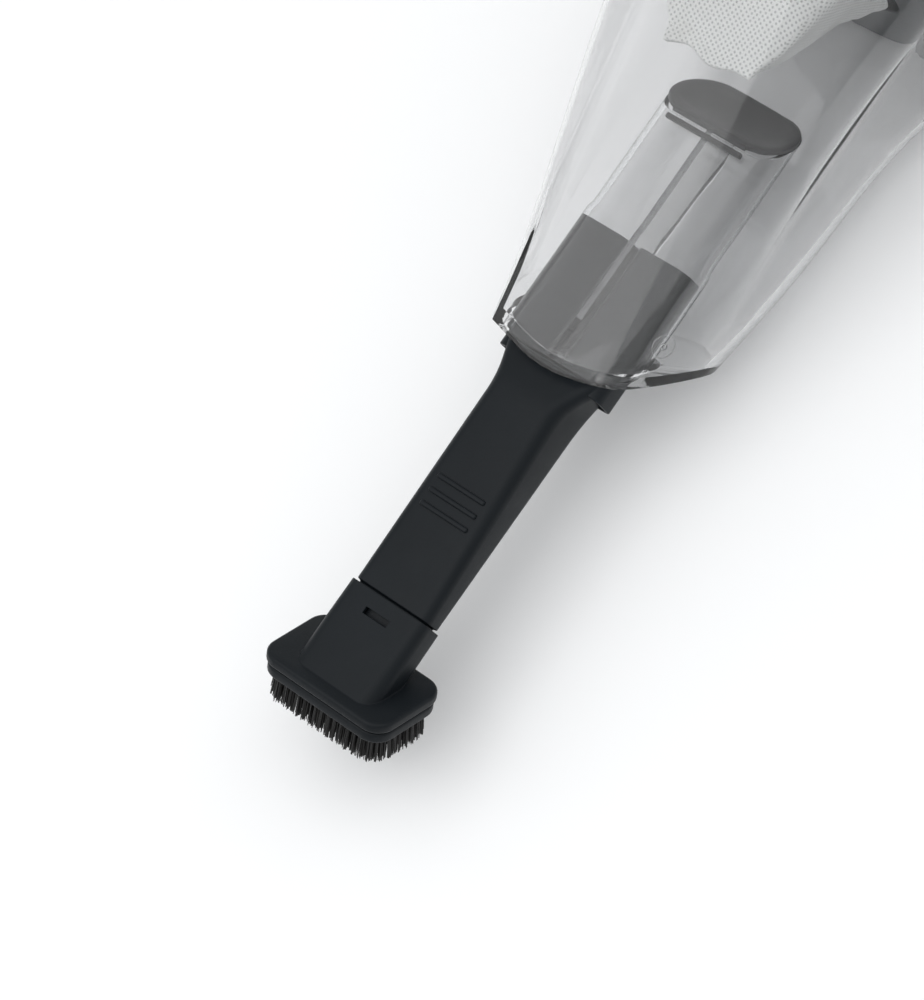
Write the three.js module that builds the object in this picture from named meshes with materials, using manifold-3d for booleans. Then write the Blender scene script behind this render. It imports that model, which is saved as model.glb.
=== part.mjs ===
// Cordless hand-held vacuum cleaner with its crevice nozzle and slip-on brush, lying on its feet.
// Millimetres. +X runs from the tail to the brush, +Z is up and Y = 0 is the mirror plane.
// The origin is on the ground, under the middle of the whole length.

import * as THREE from "three";
import { mergeVertices } from "three/addons/utils/BufferGeometryUtils.js";
import Module from "manifold-3d";

const wasm = await Module();
wasm.setup();

// ---- driving dimensions ----
const noseX = 133.5; // front of the dust bowl
const seamX = 1.5; // where the bowl meets the motor body
const tailX = -251.5; // rear end of the motor body
const gap = 0.35; // clearance between neighbouring pieces

const ductZ = 34; // height of the nozzle, duct and brush axis
const ductFront = { width: 40, height: 16.4 }; // wider sleeve that takes the nozzle
const ductRear = { width: 38.8, height: 15.4 };
const ductWall = 1.5;
const septum = 1.8; // middle wall of the duct
const shoulderBack = 41; // from the nose to the step in the duct
const ductTopBack = 73; // from the nose to the top of the duct's slanted end
const ductLowBack = 88;
const spigotBack = 37; // how deep the nozzle sits in the duct

const bowlWall = 2.4;
const shellWall = 2.6;
const fanZ = 44; // axis of the fan, motor and shaft
const shaftRadius = 2;
const fanRadius = 31;
const shroudRadius = 36;
const cellRadius = 9.2;
const cellLength = 65;

const brushX = noseX + 100; // middle of the brush's upper plate
const brushTilt = Math.asin(0.743); // how far the bristles lean down from the axis

// ---- colours ----
const inkBlack = 0x23292d;
const smoke = 0x6f7478;
const pearl = 0xdadddd;
const charcoal = 0x3b3f42;
const steel = 0xb5b8ba;

// ---- building blocks ----
const vector = (x, y, z) => new THREE.Vector3(x, y, z);

function toManifold(geometry) {
  const bare = geometry.clone();
  for (const name of Object.keys(bare.attributes)) if (name !== "position") bare.deleteAttribute(name);
  const merged = mergeVertices(bare, 1e-4);
  const vertProperties = new Float32Array(merged.attributes.position.array);
  const triVerts = new Uint32Array(merged.index.array);
  return new wasm.Manifold(new wasm.Mesh({ numProp: 3, vertProperties, triVerts }));
}

function toGeometry(manifold) {
  const { numProp, vertProperties, triVerts } = manifold.getMesh();
  const positions = [];
  for (let i = 0; i < vertProperties.length; i += numProp) {
    positions.push(vertProperties[i], vertProperties[i + 1], vertProperties[i + 2]);
  }
  const geometry = new THREE.BufferGeometry();
  geometry.setAttribute("position", new THREE.Float32BufferAttribute(positions, 3));
  geometry.setIndex(Array.from(triVerts));
  return geometry;
}

const combine = (how) => (first, ...others) =>
  toGeometry(others.reduce((sum, other) => sum[how](toManifold(other)), toManifold(first)));
const join = combine("add");
const cut = combine("subtract");
const common = combine("intersect");

const box = (x, y, z, [cx, cy, cz]) => new THREE.BoxGeometry(x, y, z).translate(cx, cy, cz);

// A box between two limits on each axis.
function block([x0, x1], [y0, y1], [z0, z1]) {
  const middle = [(x0 + x1) / 2, (y0 + y1) / 2, (z0 + z1) / 2];
  return box(x1 - x0, y1 - y0, z1 - z0, middle);
}

// A rod along X, Y or Z from one coordinate to another.
function rod(axis, radius, [from, to], [cx, cy, cz], sides = 20) {
  const geometry = new THREE.CylinderGeometry(radius, radius, to - from, sides);
  if (axis === "x") geometry.rotateZ(-Math.PI / 2);
  if (axis === "z") geometry.rotateX(Math.PI / 2);
  const middle = { x: 0, y: 0, z: 0, [axis]: (from + to) / 2 };
  return geometry.translate(cx + middle.x, cy + middle.y, cz + middle.z);
}

// A ring or disc turned about the fan axis: points are [x, radius].
function turned(points, sides = 24) {
  const profile = points.map(([x, radius]) => new THREE.Vector2(radius, x));
  const geometry = new THREE.LatheGeometry(profile, sides);
  geometry.rotateZ(-Math.PI / 2).translate(0, 0, fanZ);
  return faceOutward(mergeVertices(geometry.deleteAttribute("uv").deleteAttribute("normal"), 1e-4));
}

// Flips a closed mesh whose faces point inwards.
function faceOutward(geometry) {
  const { array } = geometry.attributes.position;
  const index = geometry.index.array;
  const [a, b, c] = [vector(), vector(), vector()];
  let volume = 0;
  for (let i = 0; i < index.length; i += 3) {
    a.fromArray(array, index[i] * 3);
    b.fromArray(array, index[i + 1] * 3);
    c.fromArray(array, index[i + 2] * 3);
    volume += a.dot(b.cross(c));
  }
  if (volume < 0) geometry.setIndex(Array.from(index).reverse());
  return geometry;
}

// Outline through [y, z, radius] corners, each rounded by a quadratic curve.
function outline(corners, steps = 4) {
  const points = [];
  corners.forEach(([y, z, radius], i) => {
    const corner = new THREE.Vector2(y, z);
    const before = corners[(i + corners.length - 1) % corners.length];
    const after = corners[(i + 1) % corners.length];
    const towards = ([ty, tz]) => {
      const way = new THREE.Vector2(ty - y, tz - z);
      return corner.clone().addScaledVector(way, Math.min(radius / way.length(), 0.48));
    };
    points.push(...new THREE.QuadraticBezierCurve(towards(before), corner, towards(after)).getPoints(steps));
  });
  return points;
}

const rectangle = (width, height, radius, z = 0) => [
  [width / 2, z + height / 2, radius],
  [width / 2, z - height / 2, radius],
  [-width / 2, z - height / 2, radius],
  [-width / 2, z + height / 2, radius],
];

// A closed body through rings that all have the same number of points.
function loft(rings) {
  const count = rings[0].length;
  const positions = rings.flat().flatMap((point) => point.toArray());
  const index = [];
  for (let r = 0; r + 1 < rings.length; r += 1) {
    for (let i = 0; i < count; i += 1) {
      const [a, b] = [r * count + i, r * count + ((i + 1) % count)];
      index.push(a, b, b + count, a, b + count, a + count);
    }
  }
  const flat = rings[0].map((point) => new THREE.Vector2(point.y, point.z));
  const last = (rings.length - 1) * count;
  for (const triangle of THREE.ShapeUtils.triangulateShape(flat, [])) {
    const sameWay = THREE.ShapeUtils.isClockWise(triangle.map((i) => flat[i]))
      === THREE.ShapeUtils.isClockWise(flat);
    const [a, b, c] = sameWay ? triangle : [...triangle].reverse();
    index.push(a, c, b, last + a, last + b, last + c);
  }
  const geometry = new THREE.BufferGeometry();
  geometry.setAttribute("position", new THREE.Float32BufferAttribute(positions, 3));
  geometry.setIndex(index);
  return faceOutward(geometry);
}

// A straight-sided body along X through rounded rectangles { x, width, height, radius, z }.
const tube = (stations, steps = 4) =>
  loft(stations.map(({ x, width, height, radius, z = ductZ }) =>
    outline(rectangle(width, height, radius, z), steps).map((p) => vector(x, p.x, p.y))));

// A flat plate: a rounded rectangle in Y and X, with its thickness along -Z from zero.
function plate(width, depth, radius, thickness, hole) {
  const path = (w, d, r) => outline(rectangle(w, d, r), 4);
  const shape = new THREE.Shape(path(width, depth, radius));
  if (hole) shape.holes.push(new THREE.Path(path(hole.width, hole.depth, hole.radius).reverse()));
  const geometry = new THREE.ExtrudeGeometry(shape, { depth: thickness, bevelEnabled: false });
  return geometry.rotateZ(-Math.PI / 2).translate(0, 0, -thickness);
}

// Everything on the side of a plane that its normal points to.
function halfSpace(point, normal) {
  const reach = 400;
  const turn = new THREE.Quaternion().setFromUnitVectors(vector(1, 0, 0), normal.clone().normalize());
  const centre = point.clone().addScaledVector(normal.clone().normalize(), reach / 2);
  return new THREE.BoxGeometry(reach, reach, reach).applyQuaternion(turn).translate(...centre.toArray());
}

function named(name, geometry, color, roughness = 0.5, metalness = 0) {
  const mesh = new THREE.Mesh(geometry, new THREE.MeshStandardMaterial({ color, roughness, metalness }));
  mesh.name = name;
  return mesh;
}

// ---- the outer form, shared by the bowl and the front of the motor body ----
const crestZ = (back) => ductZ + 12 + 0.373 * back;
const halfWidth = (back) => 28 + 0.165 * back;
const bowlLength = 132;
const noseReach = 5; // the rounded middle of the nose stands this far in front of noseX

// The foot of the flank stays almost parallel to the axis while the shoulder above it opens out.
function footWidth(back) {
  const along = Math.min(Math.max(back / bowlLength, 0), 1);
  return halfWidth(back) - 3 + 3 * (1 - along) * (1 + along - 13 * along * along);
}

// Faceted section: a flat crown, sloping shoulders, upright flanks and a rounded belly.
function bowlCorners(back, inset) {
  const crown = 20 - inset * 0.4;
  const width = halfWidth(back) - inset;
  const shoulder = ductZ + 4 + 0.38 * back - 0.00076 * back * back - inset * 0.5;
  const belly = ductZ - 28 - 0.03 * back + inset;
  const half = [
    [crown, crestZ(back) - inset, 3],
    [width, shoulder, 13 - inset],
    [footWidth(back) - inset, belly, 18 - inset],
  ];
  const mirrored = half.map(([y, z, radius]) => [-y, z, radius]).reverse();
  return [...half, ...mirrored];
}

// Adds points along the straight sides of an outline whose corners have steps + 1 points each.
function splitSides(points, steps, parts) {
  return points.flatMap((point, i) => {
    if (i % (steps + 1) !== steps) return [point];
    const next = points[(i + 1) % points.length];
    return Array.from({ length: parts }, (_, part) => point.clone().lerp(next, part / parts));
  });
}

// The nose leans back towards the floor and its edge bows forward in the middle.
function bowlRing({ x, slant = 0, bow = 0, inset }, parts = 5) {
  const back = noseX - x;
  const steps = 6;
  return splitSides(outline(bowlCorners(back, inset), steps), steps, parts).map(({ x: y, y: z }) => {
    const round = (1 - Math.cos(Math.PI * Math.min(Math.abs(y) / 30, 1))) / 2;
    const px = x - slant * (crestZ(back) - z) - bow * round;
    return vector(px, (y * halfWidth(noseX - px)) / halfWidth(back), z);
  });
}

function bowlStations(inset, setback, endX) {
  const front = noseX + noseReach - setback;
  return [
    { x: front, slant: 0.75, bow: 5, inset: inset + 4.5 },
    { x: front - 0.3, slant: 0.75, bow: 5, inset: inset + 2.9 },
    { x: front - 1.2, slant: 0.75, bow: 5, inset: inset + 1.3 },
    { x: front - 2.6, slant: 0.745, bow: 5, inset: inset + 0.4 },
    { x: front - 4.5, slant: 0.74, bow: 5, inset },
    { x: 110, slant: 0.61, bow: 3.2, inset },
    { x: 88, slant: 0.44, bow: 1.6, inset },
    { x: 62, slant: 0.24, bow: 0.6, inset },
    { x: 34, slant: 0.08, bow: 0.1, inset },
    { x: endX, slant: 0, bow: 0, inset },
  ];
}
const bowlForm = (inset, setback, endX) =>
  loft(bowlStations(inset, setback, endX).map((station) => bowlRing(station)));

// ---- dust bowl, duct and flap ----
function dustBowl() {
  const outer = bowlForm(0, 0, seamX + gap / 2);
  const inner = bowlForm(bowlWall, bowlWall * 1.25, seamX - 5);
  const mouth = tube([noseX - 36, noseX + 12].map((x) => ({
    x, width: ductFront.width + 0.8, height: ductFront.height + 0.8, radius: 7,
  })));
  return cut(outer, inner, mouth);
}

function ductEnd() {
  const top = vector(noseX - ductTopBack, 0, ductZ + ductRear.height / 2);
  const slope = vector(ductTopBack - ductLowBack, 0, -ductRear.height).normalize();
  const outward = vector(slope.z, 0, -slope.x);
  return { top, slope, outward };
}

function inletDuct() {
  const section = (x, size, inset, radius) =>
    ({ x, width: size.width - 2 * inset, height: size.height - 2 * inset, radius });
  const stepX = noseX - shoulderBack;
  const form = (inset, radius, overrun) => tube([
    section(noseX + 10 + overrun, ductFront, inset, radius),
    section(stepX + 1, ductFront, inset, radius),
    section(stepX - 0.6, ductRear, inset, radius),
    section(noseX - ductLowBack - 4 - overrun, ductRear, inset, radius),
  ]);
  const { top, outward } = ductEnd();
  const middleWall = box(90, septum, ductRear.height - ductWall, [noseX - 49, 0, ductZ]);
  const walls = join(cut(form(0, 7, 0), form(ductWall, 5.5, 1)), middleWall);
  const trimmed = cut(walls, halfSpace(top, outward));
  return common(trimmed, bowlForm(0, 0, seamX));
}

const flapPlate = { width: 39.6, length: 22.2, thickness: 1.5, standoff: 0.45 };

function flapPivot() {
  const { top, outward } = ductEnd();
  return top.clone().addScaledVector(outward, flapPlate.standoff + flapPlate.thickness / 2);
}

function flapValve() {
  const { top, slope, outward } = ductEnd();
  const { width, length, thickness, standoff } = flapPlate;
  const leaf = plate(width, length, 11, thickness).translate(0, 0, thickness + standoff);
  const turn = new THREE.Matrix4().makeBasis(slope, vector(0, -1, 0), outward);
  const middle = top.clone().addScaledVector(slope, length / 2 - 0.2);
  leaf.applyMatrix4(turn).translate(...middle.toArray());
  const pivot = flapPivot();
  const bead = rod("y", 0.85, [-12, 12], [pivot.x, 0, pivot.z], 12);
  return join(leaf, bead);
}

function flapHingeBar() {
  const barZ = ductZ + ductRear.height / 2 + gap;
  const back = noseX - ductTopBack + 1.1;
  return block([back, back + 3], [-12.5, 12.5], [barZ, barZ + 1.7]);
}

// ---- fabric filter ----
const filterBack = 126.5;

// A wedge with its ridge across the top: wide above and narrow below.
const bagStations = [
  { back: filterBack, top: 81, topHalf: 31, bottom: 33, bottomHalf: 21, radius: 11 },
  { back: 114, top: 79, topHalf: 29, bottom: 42, bottomHalf: 15, radius: 9 },
  { back: 105, top: 77, topHalf: 27, bottom: 48, bottomHalf: 14, radius: 7 },
  { back: 96, top: 72, topHalf: 22, bottom: 56, bottomHalf: 14.5, radius: 4 },
  { back: 88, top: 66.5, topHalf: 14, bottom: 61.5, bottomHalf: 13, radius: 1.8 },
];

function filterBag() {
  return loft(bagStations.map(({ back, top, topHalf, bottom, bottomHalf, radius }) => {
    const half = [[topHalf, top, radius], [bottomHalf, bottom, radius]];
    const corners = [...half, ...half.map(([y, z]) => [-y, z, radius]).reverse()];
    return outline(corners, 5).map((p) => vector(noseX - back, p.x, p.y));
  }));
}

function filterFrame() {
  const rim = (x, inset) => bowlRing({ x, inset }, 1);
  const frontX = noseX - filterBack - gap;
  const outer = loft([rim(frontX, bowlWall + 0.8), rim(frontX - 4, bowlWall + 0.8)]);
  const window = tube([frontX + 1, frontX - 5].map((x) => ({
    x, width: 54, height: 42, radius: 12, z: ductZ + 22,
  })));
  const tab = block([frontX - 1, frontX + 7], [-7, 7], [83.4, 85.6]);
  return join(cut(outer, window), tab);
}

// ---- crevice nozzle ----
const prong = { width: 16.6, height: 12.2, wall: 1.4 };

function crevice() {
  const x = (ahead) => noseX + ahead;
  const outside = tube([
    { x: x(-17), width: 36.4, height: 14.8, radius: 6 },
    { x: x(1), width: 36.4, height: 15, radius: 6 },
    { x: x(4.5), width: 31, height: 17, radius: 5.5 },
    { x: x(10), width: 23.5, height: 19, radius: 4.5 },
    { x: x(79), width: 26.4, height: 9.6, radius: 3 },
    { x: x(79.2), width: 24.4, height: 7.8, radius: 2.4 },
    { x: x(97), width: 24, height: 7.4, radius: 2.4 },
  ]);
  const front = cut(outside, bowlForm(0, -0.6, seamX));
  const prongs = [-1, 1].map((side) => prongAt(side, prong.width, prong.height, [x(-spigotBack), x(2)], 3.5));
  const body = join(front, ...prongs, ...gripRibs());
  const passages = [-1, 1].map((side) => {
    const { width, height, wall } = prong;
    return prongAt(side, width - 2 * wall, height - 2 * wall, [x(-spigotBack - 1), x(2.5)], 2.4);
  });
  const channel = tube([
    { x: x(-0.5), width: 32, height: 9.2, radius: 2.4 },
    { x: x(2.5), width: 30, height: 10, radius: 2.4 },
    { x: x(11), width: 18.6, height: 14.4, radius: 3 },
    { x: x(78), width: 21.6, height: 5.6, radius: 1.6 },
    { x: x(98), width: 21, height: 4.8, radius: 1.6 },
  ]);
  return cut(body, ...passages, channel);
}

function prongAt(side, width, height, [from, to], radius) {
  const middle = side * (septum / 2 + 0.55 + prong.width / 2);
  return tube([{ x: from, width, height, radius }, { x: to, width, height, radius }]).translate(0, middle, 0);
}

// Three raised grip ribs across the upper face, which slopes down to the tip.
function gripRibs() {
  return [44.2, 48.5, 52.8].map((ahead) => {
    const faceZ = ductZ + 9.5 - (ahead - 10) * (4.7 / 69);
    return box(1.3, 16.7, 2, [noseX + ahead, 0, faceZ - 0.15]);
  });
}

// ---- slip-on brush ----
// The plates lie square to the direction in which the bristles point.
function ontoBrush(geometry, along) {
  const down = vector(Math.cos(brushTilt), 0, -Math.sin(brushTilt));
  const centre = vector(brushX, 0, ductZ).addScaledVector(down, along);
  return geometry.rotateY(brushTilt - Math.PI / 2).translate(...centre.toArray());
}

const brushPlate = { width: 44.5, depth: 27, radius: 6, layer: 3.3 };

function brushCollar() {
  const startX = noseX + 79.7;
  const socket = { width: 25.4, height: 8.8 };
  const sleeve = (x, grow, radius) =>
    ({ x, width: socket.width + grow, height: socket.height + grow, radius });
  const outside = tube([sleeve(startX, 2.6, 3.4), sleeve(startX + 36, 3.4, 3.6)], 6);
  const down = vector(Math.cos(brushTilt), 0, -Math.sin(brushTilt));
  const seat = vector(brushX, 0, ductZ).addScaledVector(down, 0.5);
  const stem = cut(outside, halfSpace(seat, down));
  const { width, depth, radius, layer } = brushPlate;
  const flange = ontoBrush(plate(width, depth, radius, layer), 0);
  const bore = tube([sleeve(startX - 1, 0, 2.6), sleeve(startX + 42, 0, 2.6)]);
  const latchWindow = box(2, 8.4, 6, [noseX + 85.2, 0, ductZ + 5]);
  return cut(join(stem, flange), bore, latchWindow);
}

const brushHole = { width: 31, depth: 15, radius: 4 };

const bristlePlate = () =>
  ontoBrush(
    plate(brushPlate.width - 0.8, brushPlate.depth - 0.8, brushPlate.radius, brushPlate.layer, brushHole),
    brushPlate.layer + gap,
  );

function bristleRing() {
  const along = 2 * (brushPlate.layer + gap);
  return ontoBrush(plate(39.6, 22.6, 5.5, 7.6, { width: 33, depth: 16.4, radius: 3 }), along);
}

// ---- motor body ----
// { x, crown, top, width, shoulder, belly } down the length of the housing.
const housingStations = [
  { x: seamX - gap / 2, crown: 20, top: crestZ(bowlLength), width: halfWidth(bowlLength), shoulder: 75, belly: 2.04 },
  { x: -28, crown: 20, top: 101, width: 50.5, shoulder: 74, belly: 2.2 },
  { x: -58, crown: 19, top: 91, width: 49, shoulder: 64, belly: 2.2 },
  { x: -100, crown: 18, top: 80, width: 46, shoulder: 56, belly: 2.2 },
  { x: -160, crown: 16, top: 73, width: 41.5, shoulder: 50, belly: 2.2 },
  { x: -215, crown: 14, top: 68, width: 36, shoulder: 46, belly: 3 },
  { x: -240, crown: 11, top: 62, width: 29, shoulder: 42, belly: 7 },
  { x: tailX, crown: 7, top: 52, width: 18, shoulder: 38, belly: 16 },
];

// Smooth stations between the ones above, so that the shell has no creases round it.
function smoothStations(perSpan) {
  const upper = new THREE.CatmullRomCurve3(housingStations.map(({ x, top, width }) => vector(x, top, width)));
  const lower = new THREE.CatmullRomCurve3(
    housingStations.map(({ crown, shoulder, belly }) => vector(crown, shoulder, belly)));
  const spans = housingStations.length - 1;
  return Array.from({ length: spans * perSpan + 1 }, (_, i) => {
    const along = i / (spans * perSpan);
    const { x, y: top, z: width } = upper.getPoint(along);
    const { x: crown, y: shoulder, z: belly } = lower.getPoint(along);
    return { x, top, width, crown, shoulder, belly };
  });
}

function housingForm(inset) {
  const stations = smoothStations(4);
  const rings = stations.map(({ x, crown, top, width, shoulder, belly }, i) => {
    const half = [
      [crown - inset * 0.4, top - inset, 3],
      [width - inset, shoulder - inset * 0.5, 13 - inset],
      [width - 3 - inset, belly + inset, 18 - inset],
    ];
    const corners = [...half, ...half.map(([y, z, radius]) => [-y, z, radius]).reverse()];
    const ends = { 0: inset ? 4 : 0, [stations.length - 1]: inset };
    return outline(corners, 5).map((p) => vector(x + (ends[i] ?? 0), p.x, p.y));
  });
  return loft(rings);
}

const handlePath = new THREE.CatmullRomCurve3([
  vector(-18, 0, 80), vector(-34, 0, 102), vector(-72, 0, 117), vector(-125, 0, 121),
  vector(-172, 0, 110), vector(-206, 0, 86), vector(-222, 0, 50),
]);

function handleForm(width, height, radius) {
  const section = new THREE.Shape(outline(rectangle(width, height, radius), 5));
  const geometry = new THREE.ExtrudeGeometry(section, { steps: 32, extrudePath: handlePath });
  return faceOutward(mergeVertices(geometry.deleteAttribute("uv").deleteAttribute("normal"), 1e-4));
}

const screwPlaces = [[-62, 14], [-66, 78], [-125, 121], [-196, 12], [-226, 50]];
const sideOf = (side) => block([-300, 60], side > 0 ? [0.15, 80] : [-80, -0.15], [-10, 150]);

// Angled exhaust slots beside the fan.
function ventSlots(side) {
  return [0, 1, 2, 3, 4, 5].map((i) => {
    const slot = new THREE.BoxGeometry(3, 16, 26).rotateY(0.35);
    return slot.translate(-18 - i * 6.5, side * 46, 42);
  });
}

// Button places on the sloping crown: a point, and the way out of the surface.
const releasePlace = { point: vector(-13, 0, 98.2), out: vector(0.2, 0, 1).normalize() };
const lensPlace = { point: vector(-50, 0, 121.4), out: vector(0.42, 0, 1).normalize() };
const switchPlace = { point: vector(-82, 0, 129.2), out: vector(0.12, 0, 1).normalize() };

function ontoPlace(geometry, { point, out }) {
  const turn = new THREE.Quaternion().setFromUnitVectors(vector(0, 0, 1), out);
  return geometry.applyQuaternion(turn).translate(...point.toArray());
}

function housing(side) {
  const outer = join(housingForm(0), handleForm(34, 22, 10));
  const hollow = join(housingForm(shellWall), handleForm(28.4, 16.4, 7));
  const posts = screwPlaces.map(([x, z]) => rod("y", z > 100 ? 5 : 5.5, [-60, 60], [x, 0, z], 14));
  const bosses = common(join(...posts), outer);
  const openings = [
    ...ventSlots(side),
    ...screwPlaces.map(([x, z]) => rod("y", 1.9, [-30, 14], [x, 0, z], 12)),
    ...screwPlaces.map(([x, z]) => rod("y", 3.7, [-70, z > 100 ? -8 : -10], [x, 0, z], 14)),
    ontoPlace(box(17, 21, 14, [0, 0, 0]), releasePlace),
    ontoPlace(box(34, 13, 14, [0, 0, 0]), switchPlace),
    rod("x", 4.6, [tailX - 5, tailX + 8], [0, 0, 32], 16),
    ontoPlace(rod("z", 3, [-4, 9], [0, 0, 0], 12), lensPlace),
    handleTunnel(),
  ];
  return cut(common(join(cut(outer, hollow), bosses), sideOf(side)), ...openings);
}

// Clears the handle's hollow where it runs into the body's own hollow.
const handleTunnel = () => handleForm(28, 6, 2.5);

const handleGrip = () => {
  const start = 0.44;
  const end = 0.76;
  const points = [];
  for (let i = 0; i <= 8; i += 1) points.push(handlePath.getPoint(start + ((end - start) * i) / 8));
  const path = new THREE.CatmullRomCurve3(points);
  const sweep = (width, height, radius) => {
    const section = new THREE.Shape(outline(rectangle(width, height, radius), 5));
    const geometry = new THREE.ExtrudeGeometry(section, { steps: 16, extrudePath: path });
    return faceOutward(mergeVertices(geometry.deleteAttribute("uv").deleteAttribute("normal"), 1e-4));
  };
  const clear = handleForm(34.9, 22.9, 10.4);
  const lower = cut(sweep(38, 26, 11.5), clear);
  const split = toManifold(lower).decompose();
  return toGeometry(split.reduce((a, b) => (a.volume() > b.volume() ? a : b)));
};

// ---- controls ----
function releaseButton() {
  const cap = box(15.6, 19.6, 5, [0, 0, -0.4]);
  const ridges = [-4, 0, 4].map((x) => box(1.4, 14, 1, [x, 0, 2.3]));
  const peg = rod("z", 1.6, [-6, -2.5], [0, 0, 0], 10);
  return ontoPlace(join(cap, ...ridges, peg), releasePlace);
}

function releaseSpring() {
  const turns = 3;
  const height = 7.6;
  const points = [];
  for (let i = 0; i <= turns * 10; i += 1) {
    const angle = (i / 10) * Math.PI * 2;
    points.push(vector(3 * Math.cos(angle), 3 * Math.sin(angle), (height * i) / (turns * 10)));
  }
  const wire = new THREE.Shape().absarc(0, 0, 0.5, 0, Math.PI * 2);
  const path = new THREE.CatmullRomCurve3(points);
  const geometry = new THREE.ExtrudeGeometry(wire, { steps: turns * 10, curveSegments: 3, extrudePath: path });
  return ontoPlace(geometry.translate(0, 0, -11.8), releasePlace);
}

const releaseSpringSeat = () => ontoPlace(box(9, 12, 1.4, [0, 0, -13.4]), releasePlace);

function powerSwitch() {
  const cap = box(22, 12.2, 4, [-4, 0, -0.5]);
  const ridges = [-10, -7, -4, -1, 2].map((x) => box(1.2, 9, 1, [x, 0, 1.9]));
  const stem = box(6, 5, 6, [-4, 0, -5]);
  return ontoPlace(join(cap, ...ridges, stem), switchPlace);
}

const switchBlock = () => ontoPlace(box(20, 12, 5.5, [0, 0, -11.4]), switchPlace);

// ---- fan and motor, all on one axis ----
const plainRing = (inner, outer, [from, to], sides) =>
  turned([[from, inner], [from, outer], [to, outer], [to, inner], [from, inner]], sides);

function intakeGrille() {
  const rim = (x, inset) => bowlRing({ x, inset }, 1);
  const spigotInset = bowlWall + 0.8;
  const frontX = noseX - filterBack - gap - 4.7;
  const outer = loft([rim(frontX, spigotInset), rim(-5.5, spigotInset + 2.2)]);
  const inner = loft([rim(frontX + 1, spigotInset + 2.2), rim(-3, spigotInset + 4)]);
  const slots = [-24, -18, -12, -6, 0, 6, 12, 18, 24].map((y) => {
    const reach = Math.sqrt(30 ** 2 - y ** 2);
    return block([-8, 0], [y - 1.9, y + 1.9], [fanZ - reach, fanZ + reach]);
  });
  return cut(outer, inner, ...slots);
}

const fanCover = () => turned([
  [-7, 17], [-7, shroudRadius + 2], [-9, shroudRadius + 2], [-9, 17.5], [-11.5, 17], [-11.5, 15.5], [-7, 17],
]);

function fanImpeller() {
  const hub = turned([[-11, 2.3], [-11, 6], [-24, 9], [-24, fanRadius], [-25.6, fanRadius], [-25.6, 2.3], [-11, 2.3]]);
  const blades = [];
  const count = 9;
  for (let i = 0; i < count; i += 1) {
    const blade = new THREE.BoxGeometry(11.5, 1.2, 21).rotateX(-0.5).translate(-18.5, 4, 19.5);
    blades.push(blade.rotateX((i * 2 * Math.PI) / count).translate(0, 0, fanZ));
  }
  return join(hub, ...blades);
}

const fanNut = () => plainRing(shaftRadius + gap, 4.2, [-10.6, -7.6], 6);

const fanHousing = () => {
  const cup = turned([
    [-9.4, shroudRadius], [-9.4, shroudRadius + 2], [-31, shroudRadius + 2],
    [-31, 12], [-29, 12], [-29, shroudRadius], [-9.4, shroudRadius],
  ]);
  const outlets = [1, 2, 4, 5].map((i) => {
    const slot = box(12, 12, 26, [-20, 0, shroudRadius + 2]).rotateX((i * Math.PI) / 3);
    return slot.translate(0, 0, fanZ);
  });
  return cut(cup, ...outlets);
};

const motorCan = () => turned([
  [-34, 7.5], [-34, 12], [-36, 19], [-86, 19], [-86, 17.6], [-38, 17.6], [-38, 7.5], [-34, 7.5],
]);
const motorEndCap = () => turned([
  [-86.4, 5.5], [-86.4, 19], [-92, 18], [-95, 9], [-95, 5.5], [-86.4, 5.5],
]);
const motorShaft = () => rod("x", shaftRadius, [-98, -6], [0, 0, fanZ], 14);
const motorRotor = () => plainRing(shaftRadius + gap, 12.5, [-74, -48], 18);

function magnet(side) {
  const ring = plainRing(13.6, 17.2, [-78, -42], 28);
  const z = side > 0 ? [fanZ + 5, fanZ + 20] : [fanZ - 20, fanZ - 5];
  return common(ring, block([-90, -30], [-20, 20], z));
}

const bearing = ([from, to], outer) => plainRing(shaftRadius + 0.05, outer, [from, to], 16);
const motorMountRing = () => plainRing(19.4, 26, [-50, -44], 28);

function motorTerminal(side) {
  return block([-104, -95.5], [side * 11 - 2.4, side * 11 + 2.4], [fanZ - 0.4, fanZ + 0.4]);
}

// ---- battery and electronics ----
const cellPlaces = [[-10, 17], [10, 17], [-10, 37], [10, 37]];
const cellStartX = -118;

const batteryCell = ([y, z]) => {
  const can = rod("x", cellRadius, [cellStartX - cellLength, cellStartX], [0, y, z], 18);
  return join(can, rod("x", 3, [cellStartX - 0.5, cellStartX + 1.2], [0, y, z], 10));
};

function cellHolder(endX, direction) {
  const frontX = endX + direction * 0.6;
  const limits = [Math.min(endX - direction * 6, frontX), Math.max(endX - direction * 6, frontX)];
  const frame = block(limits, [-22, 22], [6.4, 48]);
  const sockets = cellPlaces.map(([y, z]) =>
    rod("x", cellRadius + 0.3, [endX - 30, endX + 30], [0, y, z], 18));
  return cut(frame, ...sockets);
}

const cellStrap = (x, [y0, y1], [z0, z1]) => block([x, x + 0.4], [y0, y1], [z0, z1]);

const circuitBoard = () => {
  const board = block([-232, -198], [-17, 17], [25, 26.6]);
  const parts = [
    block([-226, -216], [-12, -2], [26.4, 31]),
    block([-212, -206], [2, 12], [26.4, 30]),
    rod("z", 3.4, [26.4, 36], [-222, 8, 0], 12),
  ];
  return join(board, ...parts);
};

const chargeSocket = () => {
  const barrel = rod("x", 4.2, [tailX + 0.6, tailX + 14], [0, 0, 32], 16);
  const bore = rod("x", 2.9, [tailX - 1, tailX + 11], [0, 0, 32], 16);
  return cut(barrel, bore);
};
const chargePin = () => rod("x", 0.9, [tailX + 2, tailX + 10.6], [0, 0, 32], 10);
const indicatorLens = () => ontoPlace(rod("z", 2.6, [-3.5, 1.4], [0, 0, 0], 12), lensPlace);

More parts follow.
